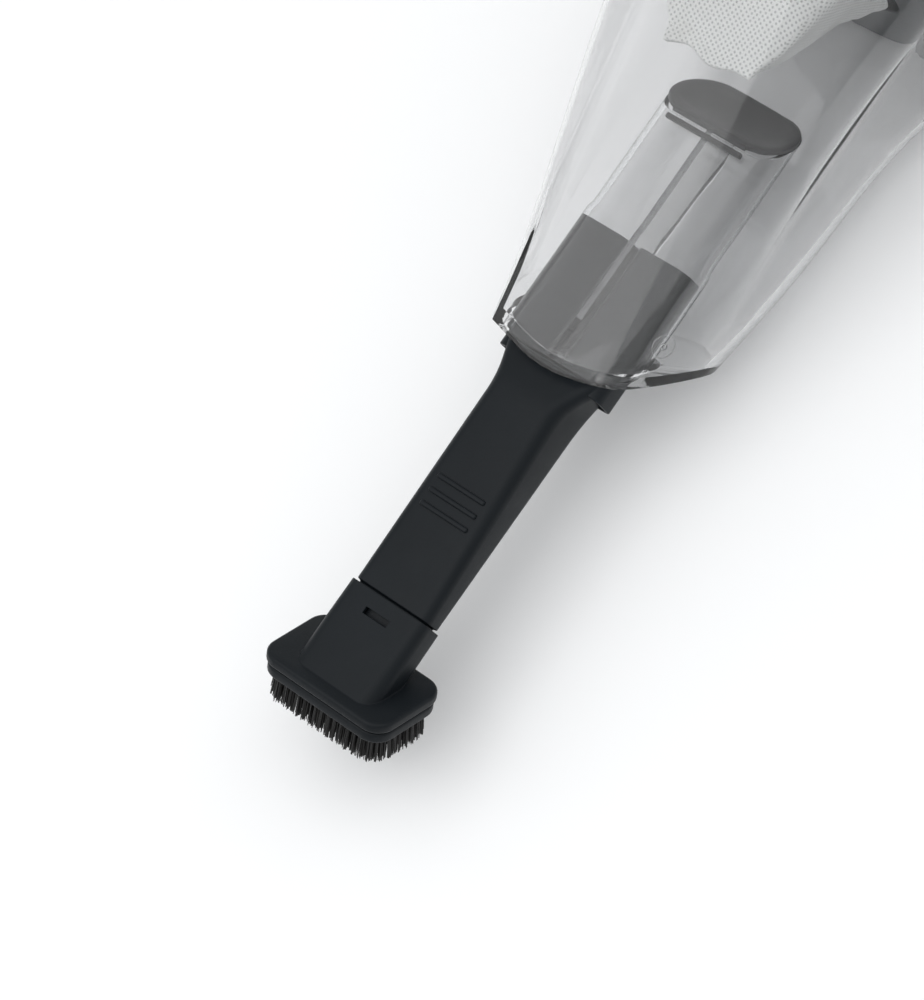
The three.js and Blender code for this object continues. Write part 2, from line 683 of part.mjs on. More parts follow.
function screw([x, z]) {
  const seatY = z > 100 ? -8 : -10;
  const head = rod("y", 3.2, [seatY - 2.4, seatY - gap], [x, 0, z], 12);
  const shank = rod("y", 1.5, [seatY - 0.5, 12], [x, 0, z], 8);
  const recess = [box(4, 2, 0.9, [x, seatY - 2.4, z]), box(0.9, 2, 4, [x, seatY - 2.4, z])];
  return cut(join(head, shank), ...recess);
}

const foot = ([x, y]) => rod("z", 6, [0, 1.8], [x, y, 0], 16);

// ---- assembly ----
const vacuum = new THREE.Group();
const add = (...parts) => parts.forEach((part) => vacuum.add(part));

add(
  named("dust_bowl", dustBowl(), smoke, 0.08),
  named("inlet_duct", inletDuct(), smoke, 0.08),
  named("flap_valve", flapValve(), charcoal, 0.7),
  named("flap_hinge_bar", flapHingeBar(), inkBlack, 0.6),
  named("filter_bag", filterBag(), 0xc9cbca, 0.95),
  named("filter_frame", filterFrame(), charcoal, 0.5),
  named("crevice_nozzle", crevice(), inkBlack, 0.55),
  named("brush_collar", brushCollar(), inkBlack, 0.5),
  named("bristle_plate", bristlePlate(), inkBlack, 0.5),
  named("bristle_ring", bristleRing(), 0x201c19, 0.9),
);
add(
  named("left_housing", housing(1), pearl, 0.35),
  named("right_housing", housing(-1), pearl, 0.35),
  named("handle_grip", handleGrip(), charcoal, 0.85),
  named("release_button", releaseButton(), charcoal, 0.5),
  named("release_spring", releaseSpring(), steel, 0.3, 1),
  named("release_spring_seat", releaseSpringSeat(), charcoal, 0.6),
  named("power_switch", powerSwitch(), charcoal, 0.5),
  named("switch_block", switchBlock(), inkBlack, 0.6),
  named("indicator_lens", indicatorLens(), 0xbfe3c4, 0.2),
);
add(
  named("intake_grille", intakeGrille(), charcoal, 0.5),
  named("fan_cover", fanCover(), pearl, 0.5),
  named("fan_impeller", fanImpeller(), 0xe6e6e2, 0.5),
  named("fan_nut", fanNut(), 0xb08d4a, 0.35, 1),
  named("fan_housing", fanHousing(), charcoal, 0.6),
  named("motor_can", motorCan(), steel, 0.35, 1),
  named("motor_end_cap", motorEndCap(), charcoal, 0.6),
  named("motor_shaft", motorShaft(), steel, 0.25, 1),
  named("motor_rotor", motorRotor(), 0x8a5a3c, 0.5, 0.6),
  named("magnet_upper", magnet(1), 0x55585a, 0.7),
  named("magnet_lower", magnet(-1), 0x55585a, 0.7),
  named("front_bearing", bearing([-37.6, -34.2], 7), 0xb08d4a, 0.4, 1),
  named("rear_bearing", bearing([-94.6, -88], 5), 0xb08d4a, 0.4, 1),
  named("motor_mount_ring", motorMountRing(), inkBlack, 0.85),
  named("motor_terminal_left", motorTerminal(1), steel, 0.4, 1),
  named("motor_terminal_right", motorTerminal(-1), steel, 0.4, 1),
);

cellPlaces.forEach((place, i) => add(named(`battery_cell_${i + 1}`, batteryCell(place), 0x4f7d8c, 0.4)));
const cellRearX = cellStartX - cellLength;
add(
  named("cell_holder_front", cellHolder(cellStartX, 1), charcoal, 0.6),
  named("cell_holder_rear", cellHolder(cellRearX, -1), charcoal, 0.6),
  named("cell_strap_front", cellStrap(cellStartX + 1.5, [-13, 13], [34, 40]), steel, 0.3, 1),
  named("cell_strap_left", cellStrap(cellRearX - 1.4, [7, 13], [14, 40]), steel, 0.3, 1),
  named("cell_strap_right", cellStrap(cellRearX - 1.4, [-13, -7], [14, 40]), steel, 0.3, 1),
  named("circuit_board", circuitBoard(), 0x2e6b46, 0.6),
  named("charge_socket", chargeSocket(), inkBlack, 0.5),
  named("charge_pin", chargePin(), steel, 0.3, 1),
);
screwPlaces.forEach((place, i) => add(named(`screw_${i + 1}`, screw(place), steel, 0.3, 1)));
[[-22, 30], [-22, -30], [-205, 20], [-205, -20]].forEach((place, i) =>
  add(named(`foot_${i + 1}`, foot(place), inkBlack, 0.9)));

export default vacuum;
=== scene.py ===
import math
import random

import bmesh
import bpy
from mathutils import Matrix, Vector, bvhtree, noise


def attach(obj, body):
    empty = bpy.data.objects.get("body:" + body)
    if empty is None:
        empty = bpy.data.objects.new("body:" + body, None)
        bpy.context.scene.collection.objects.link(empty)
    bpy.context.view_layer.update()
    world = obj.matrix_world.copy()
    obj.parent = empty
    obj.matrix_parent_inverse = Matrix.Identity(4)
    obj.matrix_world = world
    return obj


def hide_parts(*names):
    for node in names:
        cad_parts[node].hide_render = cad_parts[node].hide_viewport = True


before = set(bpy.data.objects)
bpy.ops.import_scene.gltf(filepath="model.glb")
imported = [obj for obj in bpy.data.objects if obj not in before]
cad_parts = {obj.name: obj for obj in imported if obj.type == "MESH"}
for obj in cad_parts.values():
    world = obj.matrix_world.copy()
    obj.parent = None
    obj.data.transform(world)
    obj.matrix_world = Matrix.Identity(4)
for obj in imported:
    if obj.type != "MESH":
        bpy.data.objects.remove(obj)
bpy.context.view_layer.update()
scene = bpy.context.scene
mm = 0.001  # pieces are shaped in millimetres and scaled once at the end
print("frame loaded:", len(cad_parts), "nodes")

# the form that the bowl, the nozzle and the brush all hang on, in millimetres
form = {"noseX": 133.5, "seamX": 1.7, "ductZ": 34.0, "reach": 5, "slant": 0.75, "bow": 5, "rimRound": 4.5}
seatX = form["noseX"]
axisZ = form["ductZ"]


def node(tree, kind, inputs=None, **settings):
    made = tree.nodes.new(kind)
    for key, value in settings.items():
        setattr(made, key, value)
    for key, value in (inputs or {}).items():
        if isinstance(value, bpy.types.NodeSocket):
            tree.links.new(value, made.inputs[key])
        else:
            made.inputs[key].default_value = value
    return made


def newMaterial(name):
    material = bpy.data.materials.new(name)
    material.use_nodes = True
    tree = material.node_tree
    tree.nodes.clear()
    output = node(tree, "ShaderNodeOutputMaterial")
    shader = node(tree, "ShaderNodeBsdfPrincipled")
    tree.links.new(shader.outputs[0], output.inputs[0])
    return material, tree, shader, output


def spread(tree, value, low, high, fromLow=0.3, fromHigh=0.7):
    ranged = node(tree, "ShaderNodeMapRange", {0: value, 1: fromLow, 2: fromHigh, 3: low, 4: high})
    return ranged.outputs[0]


# A colour between two others, each a plain colour or the output of another node.
def tinted(tree, factor, first, second):
    ends = [end if isinstance(end, bpy.types.NodeSocket) else (*end, 1) for end in (first, second)]
    return node(tree, "ShaderNodeMix", {0: factor, 6: ends[0], 7: ends[1]}, data_type="RGBA").outputs[2]


def objectPlace(tree):
    return node(tree, "ShaderNodeTexCoord").outputs["Object"]


def noiseAt(tree, place, scale, detail, **more):
    inputs = {"Vector": place, "Scale": scale, "Detail": detail}
    return node(tree, "ShaderNodeTexNoise", {**inputs, **more}).outputs[0]


def stretchedPlace(tree, place, scale, turn=0.0):
    inputs = {"Vector": place, "Rotation": (0, 0, turn), "Scale": scale}
    return node(tree, "ShaderNodeMapping", inputs).outputs[0]


# Raises the shader's surface by a height, with the depth in millimetres.
def embossed(tree, shader, height, depth, strength=1.0):
    bump = node(tree, "ShaderNodeBump", {"Height": height, "Strength": strength, "Distance": depth * mm})
    tree.links.new(bump.outputs[0], shader.inputs["Normal"])


# Moulded plastic: fine spark-eroded grain, slow colour drift, handling shine and pale worn edges.
def mouldedPlastic(name, colour, roughness, grain=0.05, grainSize=0.35, wear=0.25, coat=0.0, drift=0.12,
                   shine=0.5):
    material, tree, shader, _ = newMaterial(name)
    place = objectPlace(tree)
    fine = noiseAt(tree, place, 1000 / grainSize, 2.0)
    slow = noiseAt(tree, place, 38.0, 4.0)
    rub = noiseAt(tree, place, 140.0, 6.0, Roughness=0.7)
    dark = [c * (1 - drift) for c in colour]
    light = [min(c * (1 + drift), 1) for c in colour]
    pale = [min(c * 1.5 + 0.05, 1) for c in colour]
    base = tinted(tree, spread(tree, slow, 0, 1), dark, light)
    edge = node(tree, "ShaderNodeNewGeometry").outputs["Pointiness"]
    worn = spread(tree, edge, 0, wear, 0.52, 0.62)
    tree.links.new(tinted(tree, worn, base, pale), shader.inputs["Base Color"])
    tree.links.new(spread(tree, rub, roughness - 0.03, roughness + 0.04), shader.inputs["Roughness"])
    embossed(tree, shader, fine, grain)
    shader.inputs["Specular IOR Level"].default_value = shine
    shader.inputs["Coat Weight"].default_value = coat
    shader.inputs["Coat Roughness"].default_value = 0.12
    return material


# Clear moulding: faint flow waves and scratches; the plastic itself takes light along its thickness.
def clearPlastic(name, tint, throughTint, takes, waviness=0.004):
    material, tree, shader, output = newMaterial(name)
    place = objectPlace(tree)
    scratch = noiseAt(tree, stretchedPlace(tree, place, (90.0, 1400.0, 1400.0)), 1.0, 3.0)
    embossed(tree, shader, noiseAt(tree, place, 45.0, 1.0), waviness)
    tree.links.new(spread(tree, scratch, 0.008, 0.035), shader.inputs["Roughness"])
    shader.inputs["Base Color"].default_value = (*tint, 1)
    shader.inputs["Transmission Weight"].default_value = 1.0
    shader.inputs["IOR"].default_value = 1.49
    lamps = node(tree, "ShaderNodeBsdfTransparent", {"Color": (*throughTint, 1)})
    path = node(tree, "ShaderNodeLightPath")
    mixed = node(tree, "ShaderNodeMixShader",
                 {0: path.outputs["Is Shadow Ray"], 1: shader.outputs[0], 2: lamps.outputs[0]})
    tree.links.new(mixed.outputs[0], output.inputs[0])
    inside = node(tree, "ShaderNodeVolumeAbsorption", {"Color": (0.5, 0.505, 0.51, 1), "Density": takes})
    tree.links.new(inside.outputs[0], output.inputs["Volume"])
    return material


# Rubber: dull, with a patchy dusty bloom.
def softRubber(name, colour, roughness=0.72, bloom=0.35):
    material, tree, shader, _ = newMaterial(name)
    place = objectPlace(tree)
    dust = noiseAt(tree, place, 220.0, 8.0, Roughness=0.75)
    light = [min(c * 1.35 + 0.02, 1) for c in colour]
    dusty = spread(tree, dust, 0, bloom, 0.45, 0.75)
    tree.links.new(tinted(tree, dusty, colour, light), shader.inputs["Base Color"])
    tree.links.new(spread(tree, dust, roughness - 0.08, roughness + 0.1), shader.inputs["Roughness"])
    embossed(tree, shader, noiseAt(tree, place, 2600.0, 1.0), 0.03)
    shader.inputs["Sheen Weight"].default_value = 0.15
    shader.inputs["Sheen Roughness"].default_value = 0.6
    return material


# Drawn or turned metal: streaks along the given stretch, small colour drift.
def workedMetal(name, colour, roughness, stretch=(40.0, 2200.0, 2200.0)):
    material, tree, shader, _ = newMaterial(name)
    streak = noiseAt(tree, stretchedPlace(tree, objectPlace(tree), stretch), 1.0, 4.0)
    dark = [c * 0.8 for c in colour]
    tree.links.new(tinted(tree, streak, dark, colour), shader.inputs["Base Color"])
    tree.links.new(spread(tree, streak, roughness - 0.08, roughness + 0.12), shader.inputs["Roughness"])
    embossed(tree, shader, streak, 0.01, 0.6)
    shader.inputs["Metallic"].default_value = 1.0
    shader.inputs["Anisotropic"].default_value = 0.3
    return material


# Point-bonded filter cloth: rows of small pressed dots in matted fibre, a little soiled.
def filterCloth(name):
    material, tree, shader, _ = newMaterial(name)
    flat = node(tree, "ShaderNodeUVMap", uv_map="cloth").outputs[0]
    rows = stretchedPlace(tree, flat, (820.0, 820.0, 1.0), 0.6)
    dots = node(tree, "ShaderNodeTexVoronoi", {"Vector": rows, "Scale": 1.0, "Randomness": 0.12},
                voronoi_dimensions="2D")
    fibre = noiseAt(tree, stretchedPlace(tree, flat, (5200.0, 1500.0, 1.0)), 1.0, 5.0, Distortion=1.4)
    soil = noiseAt(tree, flat, 60.0, 5.0)
    pressed = spread(tree, dots.outputs["Distance"], 0, 1, 0.16, 0.34)
    base = tinted(tree, pressed, (0.44, 0.45, 0.45), (0.74, 0.75, 0.74))
    soiled = tinted(tree, spread(tree, soil, 0, 0.35, 0.5, 0.8), base, (0.5, 0.49, 0.46))
    tree.links.new(soiled, shader.inputs["Base Color"])
    height = node(tree, "ShaderNodeMath", {0: pressed, 1: spread(tree, fibre, 0, 0.5)}, operation="ADD")
    embossed(tree, shader, height.outputs[0], 0.12)
    shader.inputs["Roughness"].default_value = 0.92
    shader.inputs["Sheen Weight"].default_value = 0.3
    shader.inputs["Sheen Roughness"].default_value = 0.5
    return material


# Nylon filament: each bristle a little different, some paler towards the tip.
def filament(name, rootColour, tipColour):
    material, tree, shader, _ = newMaterial(name)
    shade = node(tree, "ShaderNodeAttribute", attribute_name="strand").outputs["Fac"]
    tip = node(tree, "ShaderNodeAttribute", attribute_name="tip").outputs["Fac"]
    amount = node(tree, "ShaderNodeMath", {0: tip, 1: shade}, operation="MULTIPLY")
    tree.links.new(tinted(tree, amount.outputs[0], rootColour, tipColour), shader.inputs["Base Color"])
    tree.links.new(spread(tree, shade, 0.32, 0.55, 0.0, 1.0), shader.inputs["Roughness"])
    return material


materials = {
    "smoke_clear": clearPlastic("smokeBowl", (0.985, 0.986, 0.988), (0.95, 0.952, 0.955), 52.0),
    "duct_clear": clearPlastic("clearDuct", (0.97, 0.972, 0.975), (0.92, 0.922, 0.925), 90.0),
    "flap_rubber": softRubber("flapRubber", (0.018, 0.018, 0.019), 0.6),
    "filter_fabric": filterCloth("filterCloth"),
    "ink_plastic": mouldedPlastic("inkPlastic", (0.0055, 0.0078, 0.01), 0.42, 0.03, 0.4, 0.12, shine=0.16),
    "bristle": filament("nylonBristle", (0.003, 0.003, 0.003), (0.014, 0.013, 0.012)),
    "pearl_plastic": mouldedPlastic("pearlPlastic", (0.4, 0.41, 0.42), 0.3, 0.008, 0.6, 0.08, 0.3, 0.03),
    "charcoal_plastic": mouldedPlastic("charcoalPlastic", (0.045, 0.05, 0.055), 0.45, 0.035, 0.4, 0.25),
    "grip_rubber": softRubber("gripRubber", (0.03, 0.032, 0.034), 0.7),
    "steel": workedMetal("brightSteel", (0.62, 0.63, 0.64), 0.28),
    "brass": workedMetal("brass", (0.72, 0.52, 0.24), 0.3),
    "copper_winding": workedMetal("copperWinding", (0.6, 0.27, 0.12), 0.38, (2200.0, 90.0, 90.0)),
    "ferrite": mouldedPlastic("ferrite", (0.09, 0.092, 0.095), 0.6, 0.06, 0.3, 0.3),
    "cell_wrap": mouldedPlastic("cellWrap", (0.06, 0.2, 0.27), 0.25, 0.005, 1.2, 0.05, 0.4),
    "board_green": mouldedPlastic("boardGreen", (0.02, 0.14, 0.06), 0.35, 0.02, 0.5, 0.1, 0.5),
    "lens": mouldedPlastic("signalLens", (0.35, 0.72, 0.42), 0.12, 0.002, 1.0, 0.0, 0.6),
}
print("materials:", len(materials))


def rectangle(width, height, radius, z=None):
    z = axisZ if z is None else z
    return [(width / 2, z + height / 2, radius), (width / 2, z - height / 2, radius),
            (-width / 2, z - height / 2, radius), (-width / 2, z + height / 2, radius)]


# A flat face across X with each corner rounded: corners are (y, z, radius).
def section(bm, x, corners, segments=6):
    known = set(bm.faces)
    verts = [bm.verts.new((x, y, z)) for y, z, _ in corners]
    bm.faces.new(verts)
    for vert, (_, _, radius) in zip(verts, corners):
        if radius > 0:
            bmesh.ops.bevel(bm, geom=[vert], offset=radius, offset_type="OFFSET", segments=segments,
                            profile=0.5, affect="VERTICES", clamp_overlap=False, material=-1)
    return next(face for face in bm.faces if face not in known)


# Skins a row of sections; open ends lose their face.
def loft(bm, stations, segments=6, openStart=False, openEnd=False):
    faces = [section(bm, x, corners, segments) for x, corners in stations]
    for first, second in zip(faces, faces[1:]):
        bmesh.ops.bridge_loops(bm, edges=list(first.edges) + list(second.edges))
    spare = faces[1:-1] + ([faces[0]] if openStart else []) + ([faces[-1]] if openEnd else [])
    bmesh.ops.delete(bm, geom=spare, context="FACES_ONLY")
    return faces


def boxAt(bm, size, centre, turn=None):
    matrix = Matrix.Translation(centre) @ (turn or Matrix()) @ Matrix.Diagonal((*size, 1))
    return bmesh.ops.create_cube(bm, size=1.0, matrix=matrix)["verts"]


# Turns the whole closed mesh to face outwards.
def faceOut(bm):
    bmesh.ops.recalc_face_normals(bm, faces=bm.faces)
    if bm.calc_volume(signed=True) < 0:
        bmesh.ops.reverse_faces(bm, faces=bm.faces)


def highest(faces):
    return max(faces, key=lambda face: face.calc_center_median().z)


def alongX(edge):
    return abs(edge.verts[0].co.x - edge.verts[1].co.x)


def mirroredCorners(half):
    return half + [(-y, z, radius) for y, z, radius in reversed(half)]


def roundEdges(bm, edges, offset, segments=3):
    bmesh.ops.bevel(bm, geom=list(edges), offset=offset, offset_type="OFFSET", segments=segments,
                    profile=0.5, affect="EDGES", clamp_overlap=True, material=-1)


def sharpEdges(bm, degrees):
    return [edge for edge in bm.edges if len(edge.link_faces) == 2
            and edge.calc_face_angle(0) > math.radians(degrees)]


def boxUv(bm):
    layer = bm.loops.layers.uv.new("cloth")
    bm.normal_update()
    for face in bm.faces:
        size = [abs(part) for part in face.normal]
        drop = size.index(max(size))
        for loop in face.loops:
            kept = [part * mm for axis, part in enumerate(loop.vert.co) if axis != drop]
            loop[layer].uv = kept


def meshPiece(name, bm, slot, body, stands=(), smoothBelow=35, scale=mm):
    bmesh.ops.scale(bm, vec=(scale, scale, scale), verts=bm.verts)
    mesh = bpy.data.meshes.new(name)
    bm.to_mesh(mesh)
    bm.free()
    mesh.shade_smooth()
    mesh.set_sharp_from_angle(angle=math.radians(smoothBelow))
    mesh.materials.append(materials[slot])
    piece = bpy.data.objects.new(name, mesh)
    scene.collection.objects.link(piece)
    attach(piece, body)
    if stands:
        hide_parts(*stands)
    return piece


def thicken(piece, thickness):
    shell = piece.modifiers.new("wall", "SOLIDIFY")
    shell.thickness, shell.offset = thickness * mm, -1
    shell.use_even_offset = True
    return piece


def softenRims(piece, width, segments=2, degrees=50):
    bevel = piece.modifiers.new("edges", "BEVEL")
    bevel.width, bevel.segments, bevel.profile = width * mm, segments, 0.5
    bevel.limit_method, bevel.angle_limit = "ANGLE", math.radians(degrees)
    bevel.harden_normals = False
    return piece


# Bakes the live modifiers into the mesh.
def settle(piece, smoothBelow=35):
    bpy.context.view_layer.update()
    shaped = bpy.data.meshes.new_from_object(piece.evaluated_get(bpy.context.evaluated_depsgraph_get()))
    piece.modifiers.clear()
    piece.data = shaped
    shaped.shade_smooth()
    shaped.set_sharp_from_angle(angle=math.radians(smoothBelow))
    return piece


def combineWith(piece, bm, operation):
    bmesh.ops.scale(bm, vec=(mm, mm, mm), verts=bm.verts)
    bmesh.ops.recalc_face_normals(bm, faces=bm.faces)
    mesh = bpy.data.meshes.new("tool")
    bm.to_mesh(mesh)
    bm.free()
    tool = bpy.data.objects.new("tool", mesh)
    scene.collection.objects.link(tool)
    cutting = piece.modifiers.new("combine", "BOOLEAN")
    cutting.operation, cutting.object, cutting.solver = operation, tool, "EXACT"
    settle(piece)
    bpy.data.objects.remove(tool)
    bpy.data.meshes.remove(mesh)
    return piece


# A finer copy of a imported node: welded, flats merged, edges rounded.
def refine(nodeName, body, slot, width=0.35, segments=2, degrees=32, smoothBelow=32):
    bm = bmesh.new()
    bm.from_mesh(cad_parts[nodeName].data)
    bmesh.ops.remove_doubles(bm, verts=bm.verts, dist=1e-6)
    bmesh.ops.dissolve_limit(bm, angle_limit=math.radians(0.8), verts=bm.verts, edges=bm.edges,
                             use_dissolve_boundaries=False)
    piece = meshPiece(nodeName + "_finished", bm, slot, body, [nodeName], smoothBelow, scale=1.0)
    if width:
        softenRims(piece, width, segments, degrees)
        piece.modifiers["edges"].miter_outer = "MITER_ARC"
    return piece


bowl = {"wall": 2.4, "crown": 20.0, "crest": 12.0, "crestRise": 0.373, "half": 28.0, "halfRise": 0.165,
        "shoulder": (4, 0.38, 0.00076), "belly": (28, 0.03), "tuck": (3, 13), "rounds": (3.2, 13, 18),
        "length": 132, "rings": 12, "ringCuts": 4, "sideCuts": 7, "segments": 8, "mouth": (40.8, 17.2, 7.4),
        "mark": {"place": (117, 26.5), "rings": ((3.3, 0.16), (0.7, 0.352)), "lift": 0.05}}
# each row: x, how far the section leans back for each millimetre down, how far its sides turn back
slantTable = [(138.5, 0.75, 5), (134, 0.74, 5), (110, 0.61, 3.2), (88, 0.44, 1.6), (62, 0.24, 0.6),
              (34, 0.08, 0.1), (1.7, 0, 0)]


def crestZ(back):
    return axisZ + bowl["crest"] + bowl["crestRise"] * back


def halfWidth(back):
    return bowl["half"] + bowl["halfRise"] * back


# The foot of the flank stays almost parallel to the axis while the shoulder above it opens out.
def footWidth(back):
    along = min(max(back / bowl["length"], 0), 1)
    tuck, curl = bowl["tuck"]
    return halfWidth(back) - tuck + tuck * (1 - along) * (1 + along - curl * along * along)


# Faceted section: a flat crown, sloping shoulders, upright flanks and a rounded belly.
def bowlCorners(back, inset):
    rise, slope, sag = bowl["shoulder"]
    depth, fall = bowl["belly"]
    crownRound, shoulderRound, footRound = bowl["rounds"]
    shoulderZ = axisZ + rise + slope * back - sag * back * back
    bellyZ = axisZ - depth - fall * back
    return mirroredCorners([(bowl["crown"] - inset * 0.4, crestZ(back) - inset, crownRound),
                            (halfWidth(back) - inset, shoulderZ - inset * 0.5, shoulderRound - inset),
                            (footWidth(back) - inset, bellyZ + inset, footRound - inset)])


def slantAt(x):
    for (front, slant, bow), (rear, slantBehind, bowBehind) in zip(slantTable, slantTable[1:]):
        if x >= rear:
            share = min(max((front - x) / (front - rear), 0), 1)
            return slant + (slantBehind - slant) * share, bow + (bowBehind - bow) * share
    return 0, 0


# How much of its bow a section has at y: none in the middle, more than all of it past the crown.
def roundBack(y):
    side = min(max((abs(y) - bowl["crown"]) / 8, 0), 1)
    return (1 - math.cos(math.pi * min(abs(y) / 30, 1))) / 2 + 0.5 * side ** 2


# The nose leans back towards the floor and its edge bows forward in the middle.
def leanNose(vert, keepWidth):
    x, y, z = vert.co
    back = seatX - x
    slant, bow = slantAt(x)
    newX = x - slant * (crestZ(back) - z) - bow * roundBack(y)
    vert.co = (newX, y if keepWidth else y * halfWidth(seatX - newX) / halfWidth(back), z)


def noseFaceX(y, z):
    drop = crestZ(-form["reach"]) - z
    return seatX + form["reach"] - form["slant"] * drop - form["bow"] * roundBack(y)


# One skin of the bowl, open at the rear and at the duct's mouth.
def bowlSkin(inset, setback):
    bm = bmesh.new()
    front, rear, rings = seatX + form["reach"] - setback, form["seamX"], bowl["rings"]
    spots = [front + (rear - front) * i / rings for i in range(rings + 1)]
    stations = [(x, bowlCorners(seatX - x, inset)) for x in spots]
    nose = loft(bm, stations, bowl["segments"], openEnd=True)[0]
    roundEdges(bm, nose.edges, form["rimRound"] - inset * 0.6, 7)
    upright = [face for face in bm.faces if abs(face.normal.x) > 0.99]
    flat = max(upright, key=lambda face: face.calc_area())
    mouth = section(bm, front, rectangle(*bowl["mouth"]), bowl["segments"])
    mouthVerts = set(mouth.verts)
    edges = list(flat.edges) + list(mouth.edges)
    bmesh.ops.delete(bm, geom=[flat, mouth], context="FACES_ONLY")
    bmesh.ops.bridge_loops(bm, edges=edges)
    long = [edge for edge in bm.edges if alongX(edge) > 5]
    bmesh.ops.subdivide_edges(bm, edges=long, cuts=bowl["ringCuts"], use_grid_fill=True)
    wide = [edge for edge in bm.edges
            if edge.calc_length() > 7.5 and alongX(edge) < 1 and not set(edge.verts) & mouthVerts]
    bmesh.ops.subdivide_edges(bm, edges=wide, cuts=bowl["sideCuts"], use_grid_fill=True)
    for vert in bm.verts:
        leanNose(vert, vert in mouthVerts)
    bmesh.ops.recalc_face_normals(bm, faces=bm.faces)
    if (highest(bm.faces).normal.z < 0) == (inset == 0):  # the inner skin faces inwards
        bmesh.ops.reverse_faces(bm, faces=bm.faces)
    mesh = bpy.data.meshes.new("skin")
    bm.to_mesh(mesh)
    bm.free()
    return mesh


def makeBowl():
    bm = bmesh.new()
    for skin in (bowlSkin(0, 0), bowlSkin(bowl["wall"], bowl["wall"] * 1.25)):
        bm.from_mesh(skin)
        bpy.data.meshes.remove(skin)
    rims = [edge for edge in bm.edges if edge.is_boundary]
    rear = [edge for edge in rims if edge.verts[0].co.x < form["seamX"] + 1]
    bmesh.ops.bridge_loops(bm, edges=rear)
    bmesh.ops.bridge_loops(bm, edges=[edge for edge in rims if edge not in rear])
    faceOut(bm)
    piece = meshPiece("bowlShell", bm, "smoke_clear", "bowl", ["dust_bowl"], 40)
    return softenRims(piece, 0.4, 2, 60)


# A plain moulded ring with a dot, raised on the right shoulder of the nose.
def makeMark():
    mark = bowl["mark"]
    shell = bvhtree.BVHTree.FromObject(bowlShell, bpy.context.evaluated_depsgraph_get())
    above = Vector((mark["place"][0], mark["place"][1], 120)) * mm
    centre, normal, _, _ = shell.ray_cast(above, Vector((0, 0, -1)))
    turn = normal.to_track_quat("Z", "Y").to_matrix()
    bm = bmesh.new()
    for radius, line in mark["rings"]:
        upright = Matrix.Translation((radius, 0, 0)) @ Matrix.Rotation(math.pi / 2, 4, "X")
        thread = bmesh.ops.create_circle(bm, segments=6, radius=line, matrix=upright)["verts"]
        edges = list({edge for vert in thread for edge in vert.link_edges})
        bmesh.ops.spin(bm, geom=thread + edges, axis=(0, 0, 1), cent=(0, 0, 0), steps=48, angle=math.tau,
                       use_merge=True, use_duplicate=False)
    bmesh.ops.remove_doubles(bm, verts=bm.verts, dist=1e-4)
    bmesh.ops.recalc_face_normals(bm, faces=bm.faces)
    for vert in bm.verts:
        flat = centre + turn @ (Vector((vert.co.x, vert.co.y, 0)) * mm)
        hit = shell.ray_cast(flat + normal * 5 * mm, -normal)[0] or flat
        vert.co = (hit + normal * (vert.co.z + mark["lift"]) * mm) / mm
    return meshPiece("bowlMark", bm, "smoke_clear", "bowl", (), 80)


bowlShell = makeBowl()
makeMark()
print("bowl done, faces:", len(bowlShell.data.polygons))

duct = {"front": (39.9, 16.3, 7.0), "rear": (38.8, 15.4, 6.6), "wall": 1.5, "step": 41, "middle": 1.8,
        "top": 73, "low": 88, "rimBack": 0.2, "wallBack": 0.6}


def slantedEndX(z):
    top = axisZ + duct["rear"][1] / 2
    return seatX - duct["top"] - (top - z) * (duct["low"] - duct["top"]) / duct["rear"][1]


def makeDuct():
    stepX = seatX - duct["step"]
    bm = bmesh.new()
    rows = [(seatX + 8, duct["front"]), (stepX + 1.6, duct["front"]), (stepX + 0.9, (39.6, 16.05, 6.9)),
            (stepX - 0.1, (39.1, 15.65, 6.7)), (stepX - 0.8, duct["rear"]),
            (seatX - duct["low"] - 4, duct["rear"])]
    loft(bm, [(x, rectangle(*size)) for x, size in rows], 8, True, True)
    for vert in bm.verts:
        if vert.co.x > seatX + 7:
            vert.co.x = noseFaceX(vert.co.y, vert.co.z) - duct["rimBack"]
        elif vert.co.x < seatX - duct["low"]:
            vert.co.x = slantedEndX(vert.co.z)
    bmesh.ops.recalc_face_normals(bm, faces=bm.faces)
    if highest(bm.faces).normal.z < 0:  # an open tube has no inside to tell by
        bmesh.ops.reverse_faces(bm, faces=bm.faces)
    piece = meshPiece("ductTube", bm, "duct_clear", "bowl", ["inlet_duct"], 40)
    settle(thicken(piece, duct["wall"]), 40)
    wall = bmesh.new()
    verts = boxAt(wall, (90, duct["middle"], duct["rear"][1] - duct["wall"]), (seatX - 45, 0, axisZ))
    for vert in verts:
        ahead = vert.co.x > seatX - 45
        vert.co.x = noseFaceX(0, vert.co.z) - duct["wallBack"] if ahead else slantedEndX(vert.co.z) + 0.2
    combineWith(piece, wall, "UNION")
    softenRims(piece, 0.18, 2, 50)
    return piece


makeDuct()


flap = {"size": (39.6, 22.2, 11), "thickness": 1.5, "standoff": 0.45, "bead": (0.85, 24), "barShare": 0.5}


def flapMatrix():
    top = Vector((seatX - duct["top"], 0, axisZ + duct["rear"][1] / 2))
    slope = Vector((duct["top"] - duct["low"], 0, -duct["rear"][1])).normalized()
    outward = Vector((slope.z, 0, -slope.x))
    turn = Matrix((slope, (0, -1, 0), outward)).transposed().to_4x4()
    return Matrix.Translation(top + slope * (flap["size"][1] / 2 - 0.2) + outward * flap["standoff"]) @ turn


